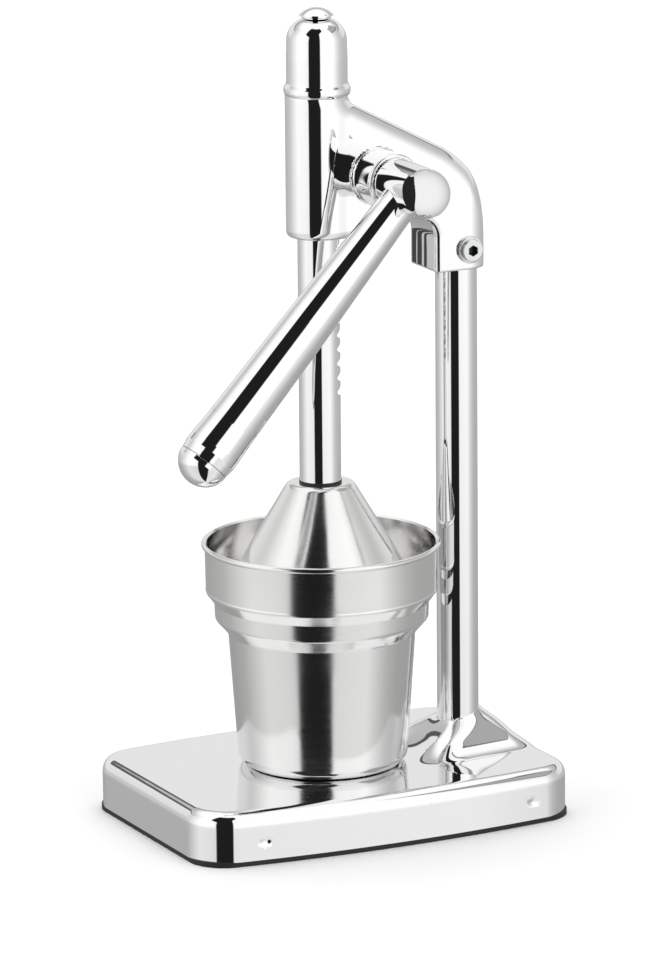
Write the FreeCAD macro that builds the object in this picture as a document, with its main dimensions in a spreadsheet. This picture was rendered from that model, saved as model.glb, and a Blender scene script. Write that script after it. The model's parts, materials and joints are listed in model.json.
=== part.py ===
import FreeCAD, Part

import math
import os

import Sketcher
from FreeCAD import Placement, Rotation, Vector

# A manual citrus press: a lever turns a pinion, the pinion drives a toothed rod, and the rod
# pushes a steel cone onto a half fruit on the strainer of the juice cup.
# Frame: +Z up, origin in the middle of the underside, +X towards the column, the lever on -Y.

DIMENSIONS = [
    ("overall_height", 355.0, "foot to tip of the finial"),
    ("base_length", 180.0, "footprint along X"),
    ("base_width", 130.0, "footprint along Y at mid length"),
    ("base_bow", 4.5, "how far the long sides bulge"),
    ("base_corner", 17.0, "corner radius in plan"),
    ("base_top", 23.4, "height of the base's flat top"),
    ("base_wall", 5.0, "wall of the base casting"),
    ("top_round", 6.0, "rounding of the base's top edge"),
    ("mat_thick", 2.2, "rubber mat under the base"),
    ("mat_recess", 1.3, "depth of the mat's recesses for its screw heads"),
    ("press_x", -5.0, "axis of the rod, cone, cup and strainer"),
    ("column_x", 61.0, "axis of the column"),
    ("seat_r", 40.0, "shallow round seat for the cup"),
    ("seat_depth", 0.4, "depth of that seat"),
    ("hill_top", 36.5, "top of the raised foot around the column"),
    ("boss_r", 16.0, "boss inside the base under the column"),
    ("boss_bottom", 10.4, "underside of that boss"),
    ("column_rad", 9.1, "column radius"),
    ("column_bottom", 16.0, "lower end of the column"),
    ("column_top", 270.0, "upper end of the column"),
    ("head_rad", 13.1, "half thickness of the head and radius of its guide"),
    ("guide_bottom", 256.7, "lower end of the rod guide"),
    ("guide_top", 317.4, "upper end of the rod guide, under the cap"),
    ("socket_bottom", 236.8, "lower end of the column socket"),
    ("socket_left", 45.0, "face of the socket towards the rod"),
    ("arch_z", 261.6, "underside of the arm"),
    ("arm_bend", 46.5, "outer bend of the arm"),
    ("pinion_x", 16.9, "axis of the pinion"),
    ("pinion_z", 282.4, "axis of the pinion"),
    ("tooth_module", 2.0, "module of the rack and pinion"),
    ("pinion_teeth", 15.0, "teeth of the pinion"),
    ("pressure_angle", 30.0, "degrees, steep, for stout teeth without undercut"),
    ("bar_rad", 10.0, "pinion bar radius"),
    ("tooth_tip", 16.7, "tip radius of the pinion teeth"),
    ("tooth_root", 13.1, "root radius of the pinion teeth"),
    ("gear_room", 17.3, "room for those teeth in the head, open at the back"),
    ("gear_front", 9.0, "front wall of that room, towards -Y"),
    ("backlash", 0.16, "play between the teeth at the pitch line"),
    ("barrel_rad", 12.4, "boss of the head around the pinion bar"),
    ("barrel_end", 30.5, "front end of that boss, towards -Y"),
    ("fit", 0.06, "radial clearance of a running fit"),
    ("rod_rad", 9.0, "rack rod radius"),
    ("rod_bottom", 149.0, "shoulder of the rod on the cone's washer"),
    ("rod_top", 308.0, "upper end of the rod"),
    ("rack_tip", 8.4, "tooth tips of the rack from the rod's axis"),
    ("rack_root", 4.9, "tooth roots of the rack from the rod's axis"),
    ("cone_top", 148.0, "flat top of the press cone"),
    ("cone_bottom", 101.2, "rim of the press cone"),
    ("cone_rim", 42.3, "outer radius of the press cone's rim"),
    ("hub_rad", 10.7, "radius of the lever's hub"),
    ("hub_back", 31.0, "rear end of the hub, towards -Y"),
    ("hub_front", 58.1, "centre of the hub's round end, towards -Y"),
    ("lever_y", 44.3, "plane of the lever, towards -Y"),
    ("lever_drop", 47.8, "degrees the lever hangs below level at rest"),
    ("lever_seam", 145.7, "length from the hub axis to the seam of the end cap"),
    ("cup_bottom", 23.05, "underside of the cup"),
    ("cup_rim", 122.0, "top of the cup's rolled lip"),
    ("sheet_steel", 0.8, "thickness of the cup and strainer"),
    ("clamp_z", 245.8, "height of the clamp screw"),
]

doc = FreeCAD.newDocument("citrus_press")
sheet = doc.addObject("Spreadsheet::Sheet", "Dims")
for row, (alias, number, meaning) in enumerate(DIMENSIONS, start=1):
    sheet.set(f"A{row}", alias)
    sheet.set(f"B{row}", str(number))
    sheet.setAlias(f"B{row}", alias)
    sheet.set(f"C{row}", meaning)
doc.recompute()


class Size:
    """A length together with the spreadsheet expression that it comes from."""

    def __init__(self, number, text=None):
        self.number = float(number)
        self.text = text if text else f"{float(number):.6g}"

    def joined(self, other, sign, number):
        return Size(number, f"({self.text} {sign} {other.text})")

    def __add__(self, other):
        other = size(other)
        return self.joined(other, "+", self.number + other.number)

    def __sub__(self, other):
        other = size(other)
        return self.joined(other, "-", self.number - other.number)

    def __mul__(self, other):
        other = size(other)
        return self.joined(other, "*", self.number * other.number)

    def __truediv__(self, other):
        other = size(other)
        return self.joined(other, "/", self.number / other.number)

    def __radd__(self, other):
        return size(other) + self

    def __rsub__(self, other):
        return size(other) - self

    def __rmul__(self, other):
        return size(other) * self

    def __neg__(self):
        return Size(-self.number, f"(0 - {self.text})")


def size(thing):
    return thing if isinstance(thing, Size) else Size(thing)


class Dims:
    """Every cell of the sheet as an attribute."""


for alias, number, meaning in DIMENSIONS:
    setattr(Dims, alias, Size(number, f"Dims.{alias}"))
d = Dims

subparts = {}


def bind(thing, prop, length):
    thing.setExpression(prop, size(length).text)


def place(thing, x=0, y=0, z=0, rotation=None):
    """Put a sub-part at (x, y, z), bound to the sheet, turned by a fixed or bound rotation."""
    x, y, z = size(x), size(y), size(z)
    turn = rotation if rotation else Rotation()
    thing.Placement = Placement(Vector(x.number, y.number, z.number), turn)
    bind(thing, "Placement.Base.x", x)
    bind(thing, "Placement.Base.y", y)
    bind(thing, "Placement.Base.z", z)


def finish(name, thing):
    """Register a sub-part under its node name."""
    thing.Label = name
    subparts[name] = thing


# ---------------------------------------------------------------- sketches and features

def new_body(name):
    return doc.addObject("PartDesign::Body", name)


def new_sketch(body, plane, name, offset=0):
    """A sketch on one of the body's own origin planes, moved along the plane's normal."""
    support = [f for f in body.Origin.OriginFeatures if f.Role == plane][0]
    sketch = body.newObject("Sketcher::SketchObject", name)
    sketch.AttachmentSupport = [(support, "")]
    sketch.MapMode = "FlatFace"
    offset = size(offset)
    sketch.AttachmentOffset = Placement(Vector(0, 0, offset.number), Rotation())
    bind(sketch, "AttachmentOffset.Base.z", offset)
    return sketch


def arc_middle(start, end, radius, side):
    """Middle point of the short arc from start to end; side +1 bends it to the right of the way."""
    chord = end - start
    half = chord.Length / 2
    rise = radius - math.sqrt(max(radius * radius - half * half, 0))
    normal = Vector(chord.y, -chord.x, 0).normalize()
    return (start + end) * 0.5 + normal * rise * side


def draw_outline(sketch, corners):
    """Closed outline. A corner is (x, y), or (x, y, radius, side) if an arc leads to it."""
    count = len(corners)
    base = len(sketch.Geometry)
    corners = [(size(c[0]), size(c[1])) + tuple(c[2:]) for c in corners]
    first_point = []
    last_point = []
    for i in range(count):
        here, there = corners[i], corners[(i + 1) % count]
        start = Vector(here[0].number, here[1].number, 0)
        end = Vector(there[0].number, there[1].number, 0)
        if len(there) == 2:
            sketch.addGeometry(Part.LineSegment(start, end), False)
            first_point.append(1)
            last_point.append(2)
            continue
        radius, side = size(there[2]), there[3]
        middle = arc_middle(start, end, radius.number, side)
        curve = sketch.addGeometry(Part.Arc(start, middle, end), False)
        first_point.append(1 if side > 0 else 2)
        last_point.append(2 if side > 0 else 1)
        rule = Sketcher.Constraint("Radius", curve, radius.number)
        sketch.setExpression(f"Constraints[{sketch.addConstraint(rule)}]", radius.text)
    for i in range(count):
        following = (i + 1) % count
        sketch.addConstraint(
            Sketcher.Constraint("Coincident", base + i, last_point[i],
                                base + following, first_point[following]))
        for kind, axis, length in (("DistanceX", -2, corners[i][0]), ("DistanceY", -1, corners[i][1])):
            if length.number == 0:
                sketch.addConstraint(Sketcher.Constraint("PointOnObject", base + i, first_point[i], axis))
                continue
            rule = Sketcher.Constraint(kind, -1, 1, base + i, first_point[i], length.number)
            sketch.setExpression(f"Constraints[{sketch.addConstraint(rule)}]", length.text)


def draw_circle(sketch, x, y, radius):
    x, y, radius = size(x), size(y), size(radius)
    circle = sketch.addGeometry(
        Part.Circle(Vector(x.number, y.number, 0), Vector(0, 0, 1), radius.number), False)
    for kind, axis, length in (("DistanceX", -2, x), ("DistanceY", -1, y)):
        if length.number == 0:
            sketch.addConstraint(Sketcher.Constraint("PointOnObject", circle, 3, axis))
            continue
        rule = Sketcher.Constraint(kind, -1, 1, circle, 3, length.number)
        sketch.setExpression(f"Constraints[{sketch.addConstraint(rule)}]", length.text)
    rule = Sketcher.Constraint("Radius", circle, radius.number)
    sketch.setExpression(f"Constraints[{sketch.addConstraint(rule)}]", radius.text)


def volume_of(body):
    doc.recompute()
    return body.Shape.Volume


def pad(body, sketch, length, symmetric=False):
    feature = body.newObject("PartDesign::Pad", sketch.Name + "_pad")
    feature.Profile = sketch
    bind(feature, "Length", length)
    feature.SideType = "Symmetric" if symmetric else "One side"
    doc.recompute()
    return feature


def pocket(body, sketch, length=None, symmetric=False):
    """Cut a sketch out of the body, through it all if no length is given."""
    before = body.Shape.Volume
    feature = body.newObject("PartDesign::Pocket", sketch.Name + "_pocket")
    feature.Profile = sketch
    feature.SideType = "Symmetric" if symmetric else "One side"
    if length is None:
        feature.Type = "ThroughAll"
    else:
        bind(feature, "Length", length)
    if volume_of(body) > before - 0.01:
        feature.Reversed = True
        if volume_of(body) > before - 0.01:
            raise RuntimeError(f"{feature.Name} cuts nothing")
    return feature


def revolve(body, sketch):
    feature = body.newObject("PartDesign::Revolution", sketch.Name + "_revolution")
    feature.Profile = sketch
    feature.ReferenceAxis = (sketch, ["V_Axis"])
    feature.Angle = 360
    doc.recompute()
    return feature


def round_edges(body, name, radius, wanted):
    """Fillet the edges of the body's tip that pass the test."""
    base = body.Tip
    names = [f"Edge{i}" for i, edge in enumerate(base.Shape.Edges, start=1) if wanted(edge)]
    feature = body.newObject("PartDesign::Fillet", name)
    feature.Base = (base, names)
    bind(feature, "Radius", radius)
    doc.recompute()
    return feature


def polar(body, original, count):
    feature = body.newObject("PartDesign::PolarPattern", original.Name + "_ring")
    feature.Originals = [original]
    axis = [f for f in body.Origin.OriginFeatures if f.Role == "Z_Axis"][0]
    feature.Axis = (axis, [""])
    feature.Angle = 360
    feature.Occurrences = count
    body.Tip = feature
    doc.recompute()
    return feature


def turned(name, corners):
    """A body turned about its own Z axis from a half section of (radius, height) corners."""
    body = new_body(name)
    sketch = new_sketch(body, "XZ_Plane", name + "_section")
    draw_outline(sketch, corners)
    revolve(body, sketch)
    return body


def cylinder(name, radius, height, z=0):
    rod = doc.addObject("Part::Cylinder", name)
    bind(rod, "Radius", radius)
    bind(rod, "Height", height)
    place(rod, 0, 0, z)
    return rod


def prism(name, across_flats, height, z=0):
    """A hexagonal prism, its circle found from the width across its flats."""
    hexagon = doc.addObject("Part::Prism", name)
    hexagon.Polygon = 6
    bind(hexagon, "Circumradius", size(across_flats) / math.sqrt(3))
    bind(hexagon, "Height", height)
    place(hexagon, 0, 0, z)
    return hexagon


def cut(name, base, tool):
    result = doc.addObject("Part::Cut", name)
    result.Base = base
    result.Tool = tool
    return result


def fuse(name, *shapes):
    result = doc.addObject("Part::MultiFuse", name)
    result.Shapes = list(shapes)
    return result


def dome(rim_radius, rim_height, apex_height):
    """Corner that closes an outline with a round dome from its rim to the axis."""
    rise = size(apex_height) - rim_height
    return (0, apex_height, (size(rim_radius) * rim_radius + rise * rise) / (2 * rise), 1)


# ---------------------------------------------------------------- the base

def base_outline(sketch, inset):
    """Rounded rectangle whose two long sides bow outwards."""
    half_length = d.base_length / 2 - inset
    half_width = d.base_width / 2 - inset
    corner = d.base_corner - inset
    run = half_length - corner
    end_y = half_width - d.base_bow
    bow_rad = (run * run + d.base_bow * d.base_bow) / (2 * d.base_bow)
    draw_outline(sketch, [
        (-run, -end_y, corner, 1),
        (run, -end_y, bow_rad, 1),
        (half_length, -(end_y - corner), corner, 1),
        (half_length, end_y - corner),
        (run, end_y, corner, 1),
        (-run, end_y, bow_rad, 1),
        (-half_length, end_y - corner, corner, 1),
        (-half_length, -(end_y - corner)),
    ])


MAT_SCREWS = [(-72, -42), (72, -42), (72, 42), (-72, 42)]
PIPS = [(-62, 10.0), (71, 10.0)]


def base_casting():
    body = new_body("base_casting")
    footprint = new_sketch(body, "XY_Plane", "base_footprint", d.mat_thick)
    base_outline(footprint, size(0))
    pad(body, footprint, d.base_top - d.mat_thick)
    round_edges(body, "base_top_round", d.top_round,
                lambda e: e.BoundBox.ZMin > d.base_top.number - 0.01)
    foot = new_sketch(body, "XY_Plane", "hill_foot", d.base_top - 4)
    foot_end = d.base_length / 2 - 3
    draw_outline(foot, [
        (14, -32), (foot_end - 8, -23.5), (foot_end, -15.5, 8, 1), (foot_end, 15.5),
        (foot_end - 8, 23.5, 8, 1), (14, 32)])
    crest = new_sketch(body, "XY_Plane", "hill_crest", d.hill_top)
    crest_end = d.column_x + 15
    draw_outline(crest, [
        (44, -11), (crest_end - 5, -10.5), (crest_end, -5.5, 5, 1), (crest_end, 5.5),
        (crest_end - 5, 10.5, 5, 1), (44, 11)])
    hill = body.newObject("PartDesign::AdditiveLoft", "hill")
    hill.Profile = foot
    hill.Sections = [crest]
    hill.Ruled = True
    doc.recompute()
    round_edges(body, "hill_crest_round", 3.0, lambda e: e.BoundBox.ZMin > d.hill_top.number - 0.01)
    cavity = new_sketch(body, "XY_Plane", "base_cavity", d.mat_thick)
    base_outline(cavity, d.base_wall)
    pocket(body, cavity, d.base_top - d.mat_thick - 6)
    boss = new_sketch(body, "XY_Plane", "column_boss", d.boss_bottom)
    draw_circle(boss, d.column_x, 0, d.boss_r)
    pad(body, boss, d.base_top - d.boss_bottom)
    posts = new_sketch(body, "XY_Plane", "mat_posts", d.mat_thick)
    for x, y in MAT_SCREWS:
        draw_circle(posts, x, y, 4.5)
    pad(body, posts, d.base_top - d.mat_thick - 4)
    seat = new_sketch(body, "XY_Plane", "cup_seat", d.hill_top + 1)
    draw_circle(seat, d.press_x, 0, d.seat_r)
    pocket(body, seat, d.hill_top + 1 - d.base_top + d.seat_depth)
    socket = new_sketch(body, "XY_Plane", "column_hole", d.hill_top + 1)
    draw_circle(socket, d.column_x, 0, d.column_rad + d.fit)
    pocket(body, socket, d.hill_top + 1 - d.column_bottom)
    bolt_hole = new_sketch(body, "XY_Plane", "column_bolt_hole", d.column_bottom + 1)
    draw_circle(bolt_hole, d.column_x, 0, 4.4)
    pocket(body, bolt_hole, d.column_bottom - d.boss_bottom + 2)
    tapped = new_sketch(body, "XY_Plane", "mat_screw_holes", d.mat_thick)
    for x, y in MAT_SCREWS:
        draw_circle(tapped, x, y, 2.0)
    pocket(body, tapped, 12)
    pips = new_sketch(body, "XZ_Plane", "side_pips")
    for x, z in PIPS:
        draw_circle(pips, x, z, 1.7)
    reach = d.base_width / 2 - 2.0
    pips.AttachmentOffset = Placement(Vector(0, 0, reach.number), Rotation())
    bind(pips, "AttachmentOffset.Base.z", reach)
    pocket(body, pips, 20)
    finish("base_casting", body)


def base_mat():
    body = new_body("base_mat")
    sketch = new_sketch(body, "XY_Plane", "mat_outline")
    base_outline(sketch, size(0.3))
    pad(body, sketch, d.mat_thick)
    holes = new_sketch(body, "XY_Plane", "mat_holes", d.mat_thick)
    for x, y in MAT_SCREWS:
        draw_circle(holes, x, y, 2.2)
    pocket(body, holes)
    recesses = new_sketch(body, "XY_Plane", "mat_recesses")
    for x, y in MAT_SCREWS:
        draw_circle(recesses, x, y, 4.0)
    pocket(body, recesses, d.mat_recess)
    finish("base_mat", body)


def mat_screws():
    """Four slotted screws, their heads sunk in the mat, that hold it under the base."""
    body = new_body("mat_screws")
    head = new_sketch(body, "XY_Plane", "mat_screw_heads", 0.3)
    for x, y in MAT_SCREWS:
        draw_circle(head, x, y, 3.6)
    pad(body, head, d.mat_recess - 0.3)
    thread = new_sketch(body, "XY_Plane", "mat_screw_threads", 0.3)
    for x, y in MAT_SCREWS:
        draw_circle(thread, x, y, 1.95)
    pad(body, thread, 11)
    slots = new_sketch(body, "XY_Plane", "mat_screw_slots", 0.8)
    for x, y in MAT_SCREWS:
        draw_outline(slots, [(x - 2.6, y - 0.5), (x + 2.6, y - 0.5), (x + 2.6, y + 0.5), (x - 2.6, y + 0.5)])
    pocket(body, slots, 2)
    finish("mat_screws", body)


# ---------------------------------------------------------------- the column

def column():
    length = d.column_top - d.column_bottom
    bar = turned("column", [
        (3.4, 0), (3.4, 24), (0, 26), (0, length), (d.column_rad - 1, length),
        (d.column_rad, length - 1), (d.column_rad, 1), (d.column_rad - 1, 0)])
    place(bar, d.column_x, 0, d.column_bottom)
    finish("column", bar)


def column_bolt():
    """Hexagon bolt from below into the column's tapped end, with its washer."""
    washer = turned("column_bolt_washer", [(4.3, 0), (8.2, 0), (8.2, 1.6), (4.3, 1.6)])
    place(washer, d.column_x, 0, d.boss_bottom - 1.6)
    finish("column_bolt_washer", washer)
    head = prism("bolt_head", 13, 5.3)
    thread = cylinder("bolt_thread", 3.35, 28)
    bolt = fuse("column_bolt", head, thread)
    place(bolt, d.column_x, 0, d.boss_bottom - 1.6 - 5.3)
    finish("column_bolt", bolt)


# ---------------------------------------------------------------- the head casting

def head_casting():
    body = new_body("head_casting")
    plan = new_sketch(body, "XY_Plane", "head_plan", d.socket_bottom)
    draw_outline(plan, [
        (d.press_x, -d.head_rad, d.head_rad, 1), (d.column_x, -d.head_rad),
        (d.column_x + d.head_rad, 0, d.head_rad, 1), (d.column_x, d.head_rad, d.head_rad, 1),
        (d.press_x, d.head_rad), (d.press_x - d.head_rad, 0, d.head_rad, 1)])
    pad(body, plan, d.guide_top - d.socket_bottom)
    above = new_sketch(body, "XZ_Plane", "arm_top")
    slope = math.radians(28.0)
    bend_x = d.column_x + d.head_rad + 1.2 - d.arm_bend
    bend_z = Size(249.9)
    meet_x = bend_x + d.arm_bend * math.sin(slope)
    meet_z = bend_z + d.arm_bend * math.cos(slope)
    rise_x = meet_x - d.press_x
    draw_outline(above, [
        (d.press_x, meet_z + rise_x * math.tan(slope)), (meet_x, meet_z),
        (bend_x + d.arm_bend, bend_z, d.arm_bend, -1), (200, bend_z), (200, 340), (d.press_x, 340)])
    pocket(body, above, symmetric=True)
    round_edges(body, "arm_top_round", 2.0,
                lambda e: e.BoundBox.ZMin > 255 and e.BoundBox.ZLength > 1 and e.BoundBox.XLength > 5)
    below = new_sketch(body, "XZ_Plane", "arm_arch")
    arch_left = d.press_x + d.head_rad + 4.0
    draw_outline(below, [
        (-60, 200), (d.socket_left, 200), (d.socket_left, d.arch_z - 9.5),
        (d.socket_left - 9.5, d.arch_z, 9.5, 1), (arch_left + 4.9, d.arch_z),
        (arch_left, d.guide_bottom, 4.9, 1), (-60, d.guide_bottom)])
    pocket(body, below, symmetric=True)
    guide = new_sketch(body, "XY_Plane", "rod_guide", d.guide_bottom)
    draw_circle(guide, d.press_x, 0, d.head_rad)
    pad(body, guide, d.guide_top - d.guide_bottom)
    spigot = new_sketch(body, "XY_Plane", "cap_spigot", d.guide_top)
    draw_circle(spigot, d.press_x, 0, 11.3)
    pad(body, spigot, 5.5)
    barrel = new_sketch(body, "XZ_Plane", "pinion_barrel")
    draw_circle(barrel, d.pinion_x, d.pinion_z, d.barrel_rad)
    pad(body, barrel, d.barrel_end)
    rod_bore = new_sketch(body, "XY_Plane", "rod_bore", d.guide_top + 20)
    draw_circle(rod_bore, d.press_x, 0, d.rod_rad + d.fit)
    pocket(body, rod_bore)
    pinion_bore = new_sketch(body, "XZ_Plane", "pinion_bore")
    draw_circle(pinion_bore, d.pinion_x, d.pinion_z, d.bar_rad + d.fit)
    pocket(body, pinion_bore, symmetric=True)
    room = new_sketch(body, "XZ_Plane", "gear_room", d.gear_front)
    draw_circle(room, d.pinion_x, d.pinion_z, d.gear_room)
    pocket(body, room, d.gear_front + d.head_rad + 1)
    column_bore = new_sketch(body, "XY_Plane", "column_bore", d.column_top)
    draw_circle(column_bore, d.column_x, 0, d.column_rad + d.fit)
    pocket(body, column_bore, d.column_top - d.socket_bottom + 1)
    screw_hole = new_sketch(body, "XZ_Plane", "clamp_screw_hole", d.head_rad + 2)
    draw_circle(screw_hole, d.column_x, d.clamp_z, 3.1)
    pocket(body, screw_hole, d.head_rad + 2)
    finish("head_casting", body)


def clamp_screw():
    """Socket-head screw that holds the head on the column."""
    body = turned("clamp_screw", [
        (0, 0), (2.8, 0), (3.0, 0.4), (3.0, 6.0), (5.3, 6.0), (5.3, 9.2), (4.6, 10.0), (0, 10.0)])
    recess = new_sketch(body, "XY_Plane", "hex_recess", 10.0)
    across = size(5.0)
    points = []
    for i in range(6):
        angle = math.radians(60 * i + 30)
        points.append((across / math.sqrt(3) * math.cos(angle), across / math.sqrt(3) * math.sin(angle)))
    draw_outline(recess, points)
    pocket(body, recess, 3.2)
    place(body, d.column_x, -(d.column_rad + 0.02), d.clamp_z, Rotation(Vector(1, 0, 0), 90))
    finish("clamp_screw", body)


# ---------------------------------------------------------------- cap and finial

def top_cap():
    height = d.overall_height - d.guide_top
    shoulder = height - 4.4
    body = turned("top_cap", [
        (11.36, 0), (13.6, 0), (14.4, 1.4, 1.6, 1), (14.4, 2.6), (13.3, 6.0, 3.6, 1),
        (13.1, 17), (12.5, 23.5, 40, 1), (7.8, shoulder, 7.6, 1),
        (3.1, shoulder), (3.1, shoulder - 4), (9.7, shoulder - 4), (9.7, 6.2), (11.36, 6.2)])
    place(body, d.press_x, 0, d.guide_top)
    finish("top_cap", body)
    finial = turned("cap_finial", [
        (0, -3.8), (3.0, -3.8), (3.0, 0), (6.3, 0), (6.3, 0.35), (7.25, 0.9), (7.1, 1.6),
        dome(7.1, 1.6, 4.4)])
    place(finial, d.press_x, 0, d.guide_top + shoulder)
    finish("cap_finial", finial)


# ---------------------------------------------------------------- rack rod and cone

def rack_rod():
    length = d.rod_top - d.rod_bottom
    body = turned("rack_rod", [
        (0, -11), (3.6, -11), (4.0, -10.6), (4.0, 0), (d.rod_rad, 0),
        (d.rod_rad, length - 1.2), (d.rod_rad - 1.2, length), (0, length)])
    pitch = d.tooth_module * math.pi
    above = 2
    below = 15
    flat = new_sketch(body, "XZ_Plane", "rack_flat")
    flat_bottom = d.pinion_z - d.rod_bottom - pitch * (below + 0.5)
    draw_outline(flat, [
        (d.rack_tip, flat_bottom), (20, flat_bottom), (20, length + 5), (d.rack_tip, length + 5)])
    pocket(body, flat, symmetric=True)
    centre_distance = d.pinion_x - d.press_x
    pitch_line = centre_distance - d.tooth_module * d.pinion_teeth / 2
    slant = math.tan(math.radians(d.pressure_angle.number))
    half_gap = pitch / 4 + d.backlash / 4
    half_root = half_gap - (pitch_line - d.rack_root) * slant
    half_tip = half_gap + (d.rack_tip + 1 - pitch_line) * slant
    lowest = d.pinion_z - d.rod_bottom - pitch * below
    gap = new_sketch(body, "XZ_Plane", "tooth_gap")
    draw_outline(gap, [
        (d.rack_root, lowest - half_root), (d.rack_tip + 1, lowest - half_tip),
        (d.rack_tip + 1, lowest + half_tip), (d.rack_root, lowest + half_root)])
    first = pocket(body, gap, symmetric=True)
    row = body.newObject("PartDesign::LinearPattern", "tooth_gaps")
    row.Originals = [first]
    row.Direction = (gap, ["V_Axis"])
    row.Occurrences = above + below + 1
    bind(row, "Length", pitch * (above + below))
    body.Tip = row
    doc.recompute()
    place(body, d.press_x, 0, d.rod_bottom)
    finish("rack_rod", body)


def press_cone():
    """Spun cone, open below, with a small flat top."""
    wall = 1.2
    rim = d.cone_rim
    top = d.cone_top
    bottom = d.cone_bottom
    body = turned("press_cone", [
        (4.1, top), (4.1, top - wall), (10.9, top - wall), (13.2, top - 2.6, 3.0, -1),
        (rim - 1.45, bottom), (rim - 1.3, bottom - 0.5), (rim - 0.3, bottom - 0.5), (rim, bottom),
        (15.2, top - 1.55), (12.46, top, 3.2, 1)])
    place(body, d.press_x, 0, 0)
    finish("press_cone", body)
    washer = turned("cone_washer", [(4.1, 0), (9.2, 0), (9.2, 1.0), (4.1, 1.0)])
    place(washer, d.press_x, 0, d.cone_top)
    finish("cone_washer", washer)
    inner = turned("cone_nut_washer", [(4.1, 0), (8.0, 0), (8.0, 1.2), (4.1, 1.2)])
    place(inner, d.press_x, 0, d.cone_top - wall - 1.2)
    finish("cone_nut_washer", inner)
    blank = prism("cone_nut_blank", 13, 6.4, 0)
    dome = turned("cone_nut_dome", [
        (0, -3.0), (2.5, -2.9), (5.6, 0, 6.6, 1), (5.6, 1), (0, 1)])
    solid = fuse("cone_nut_solid", blank, dome)
    bore = cylinder("cone_nut_bore", 4.05, 12, -1.4)
    nut = cut("cone_nut", solid, bore)
    place(nut, d.press_x, 0, d.cone_top - wall - 1.2 - 6.4)
    finish("cone_nut", nut)


# ---------------------------------------------------------------- pinion, hub and lever

def pinion_outline():
    """One closed wire of the toothed section: radial roots, involute flanks, round tips."""
    teeth = int(d.pinion_teeth.number)
    pitch_rad = d.tooth_module.number * teeth / 2
    angle = math.radians(d.pressure_angle.number)
    base_rad = pitch_rad * math.cos(angle)
    tip, root = d.tooth_tip.number, d.tooth_root.number
    half_thick = (math.pi * d.tooth_module.number / 2 - d.backlash.number / 2) / 2 / pitch_rad
    half_base = half_thick + math.tan(angle) - angle

    def flank(radius):
        turn = math.acos(base_rad / radius)
        return half_base - (math.tan(turn) - turn)

    def at(radius, phase):
        return Vector(radius * math.cos(phase), radius * math.sin(phase), 0)

    steps = 6
    radii = [base_rad + (tip - base_rad) * (i / steps) ** 1.5 for i in range(steps + 1)]
    edges = []
    for tooth in range(teeth):
        middle = math.pi + 2 * math.pi * tooth / teeth
        rising = [at(r, middle - flank(r)) for r in radii]
        falling = [at(r, middle + flank(r)) for r in reversed(radii)]
        next_foot = middle + 2 * math.pi / teeth - half_base
        low = [at(root, middle - half_base), at(root, middle + half_base), at(root, next_foot)]
        gap_middle = at(root, (middle + half_base + next_foot) / 2)
        up, down = Part.BSplineCurve(), Part.BSplineCurve()
        up.interpolate(rising)
        down.interpolate(falling)
        edges += [Part.LineSegment(low[0], rising[0]).toShape(), up.toShape(),
                  Part.Arc(rising[-1], at(tip, middle), falling[0]).toShape(), down.toShape(),
                  Part.LineSegment(falling[-1], low[1]).toShape(),
                  Part.Arc(low[1], gap_middle, low[2]).toShape()]
    return Part.Wire(Part.__sortEdges__(edges))


def pinion_shaft():
    """Bar with its toothed wheel beside the rod and a spigot for the hub in front."""
    half_teeth = 8.5
    far_end = d.head_rad.number
    front = d.hub_back.number
    spigot_end = d.hub_front.number - 8
    toothed = Part.Face(pinion_outline()).extrude(Vector(0, 0, 2 * half_teeth))
    toothed.translate(Vector(0, 0, -half_teeth))
    bar_rad = d.bar_rad.number
    back_bar = Part.makeCylinder(bar_rad, far_end - half_teeth, Vector(0, 0, -far_end))
    front_bar = Part.makeCylinder(bar_rad, front - half_teeth, Vector(0, 0, half_teeth))
    spigot = Part.makeCylinder(7.0, spigot_end - front, Vector(0, 0, front))
    solid = toothed.fuse([back_bar, front_bar, spigot])
    screw_hole = Part.makeCylinder(2.6, 16, Vector(0, 0, -far_end - 1))
    lean = math.radians(d.lever_drop.number)
    stud_way = Vector(-math.cos(lean), -math.sin(lean), 0)
    stud_hole = Part.makeCylinder(4.0, 12, Vector(0, 0, d.lever_y.number) - stud_way * 4, stud_way)
    shaft = doc.addObject("Part::Feature", "pinion_shaft")
    shaft.Shape = solid.cut(screw_hole).cut(stud_hole)
    place(shaft, d.pinion_x, 0, d.pinion_z, Rotation(Vector(1, 0, 0), 90))
    finish("pinion_shaft", shaft)


def pinion_retainer():
    """Cover disc and screw on the far side, which keep the pinion in the head."""
    washer = turned("pinion_washer", [(2.7, 0), (17.9, 0), (18.3, 0.4), (18.3, 1.4), (17.9, 1.8), (2.7, 1.8)])
    place(washer, d.pinion_x, d.head_rad + 0.1, d.pinion_z, Rotation(Vector(1, 0, 0), -90))
    finish("pinion_washer", washer)
    screw = turned("pinion_screw", [
        (0, -12), (2.3, -12), (2.55, -11.6), (2.55, 0), (5.0, 0), (5.0, 1.2), dome(5.0, 1.2, 3.4)])
    slot = new_sketch(screw, "XY_Plane", "screw_slot", 2.0)
    draw_outline(slot, [(-6, -0.6), (6, -0.6), (6, 0.6), (-6, 0.6)])
    pocket(screw, slot, 3)
    place(screw, d.pinion_x, d.head_rad + 1.9, d.pinion_z, Rotation(Vector(1, 0, 0), -90))
    finish("pinion_screw", screw)


def lever_turn():
    """Rotation that points a turned part's own Z axis along the lever."""
    return Rotation(Vector(0, 1, 0), -(90 + d.lever_drop.number))


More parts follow.
